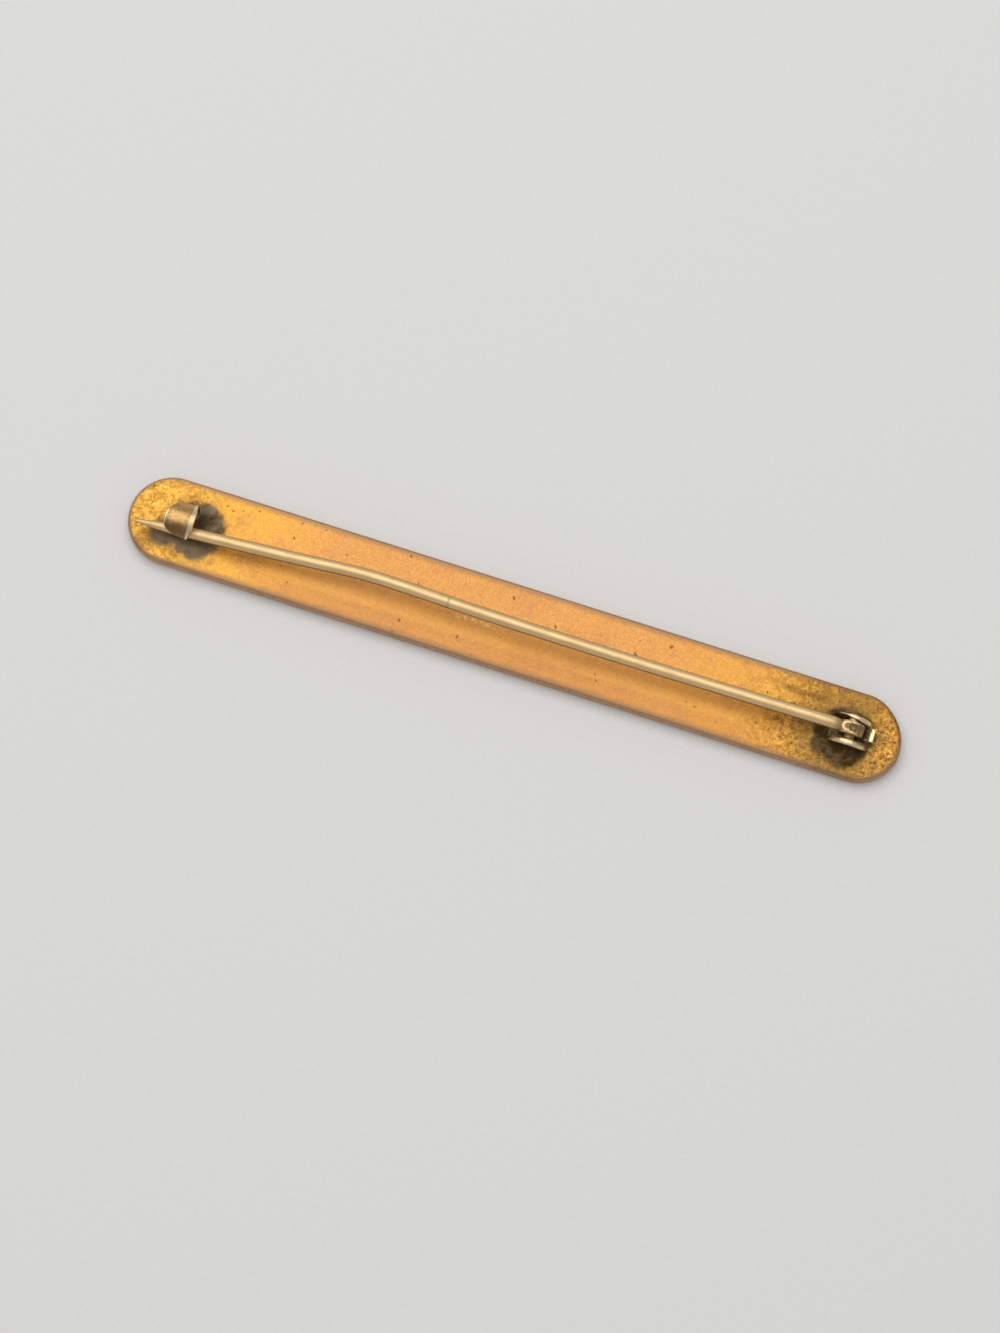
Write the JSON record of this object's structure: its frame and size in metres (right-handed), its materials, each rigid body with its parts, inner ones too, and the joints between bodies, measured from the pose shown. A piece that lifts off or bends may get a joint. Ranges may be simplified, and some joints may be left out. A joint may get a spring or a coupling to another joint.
{
  "type": "bar brooch",
  "caption": "Slim round-ended metal bar brooch with a hinged pin stem, a riveted hinge and a curled open catch on its back.",
  "frame": {"origin": "centre of the plain front face, on which the brooch lies", "axes": "+X along the bar to the hinge, +Y across it to the side the catch's strip rises from, +Z out of the back"},
  "size_m": [0.06, 0.0066, 0.004],
  "materials": {
    "gilt_bar": "worn gilt brass, mottled and pitted",
    "pin_brass": "pale drawn wire, satin"
  },
  "bodies": {
    "brooch": {"bar": "gilt_bar", "hinge_rivet": "pin_brass"},
    "pin": {"pin_stem": "pin_brass"}
  },
  "joints": [
    {"name": "pin_swing", "type": "hinge", "parent": "brooch", "child": "pin", "pos_m": [0.026, 0.0001, 0.0024], "axis": [0, 1, 0], "range_deg": [0, 110]}
  ]
}
